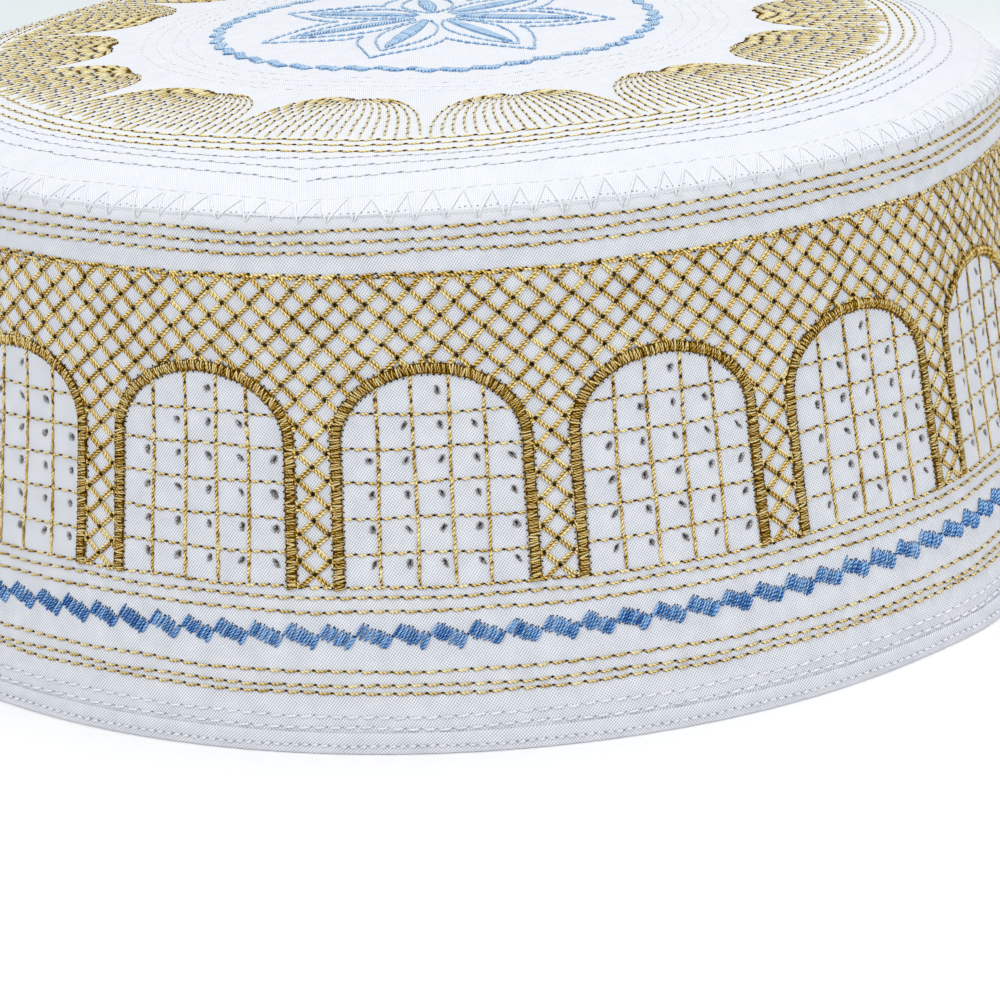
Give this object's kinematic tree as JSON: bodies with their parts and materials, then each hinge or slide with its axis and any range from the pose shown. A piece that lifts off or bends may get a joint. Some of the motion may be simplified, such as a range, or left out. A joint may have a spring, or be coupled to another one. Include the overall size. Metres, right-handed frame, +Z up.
{
  "type": "kufi",
  "caption": "Round white kufi cap with a shallow crown and a flared side band, embroidered with gold arches, lattice and scallops, and a blue flower.",
  "frame": {"origin": "centre of the rim's lowest plane, where the cap rests", "axes": "+Z up through the crown's centre, -Y towards the picture's camera"},
  "size_m": [0.1868, 0.1868, 0.0756],
  "materials": {
    "crown_cloth": "matt white cotton with gold, white and blue thread embroidery",
    "band_cloth": "matt white cotton twill with gold, white and blue thread embroidery",
    "binding_cloth": "matt white cotton strip, folded and stitched"
  },
  "bodies": {
    "root": {"crown": "crown_cloth", "side_band": "band_cloth", "rim_binding": "binding_cloth"}
  },
  "joints": []
}
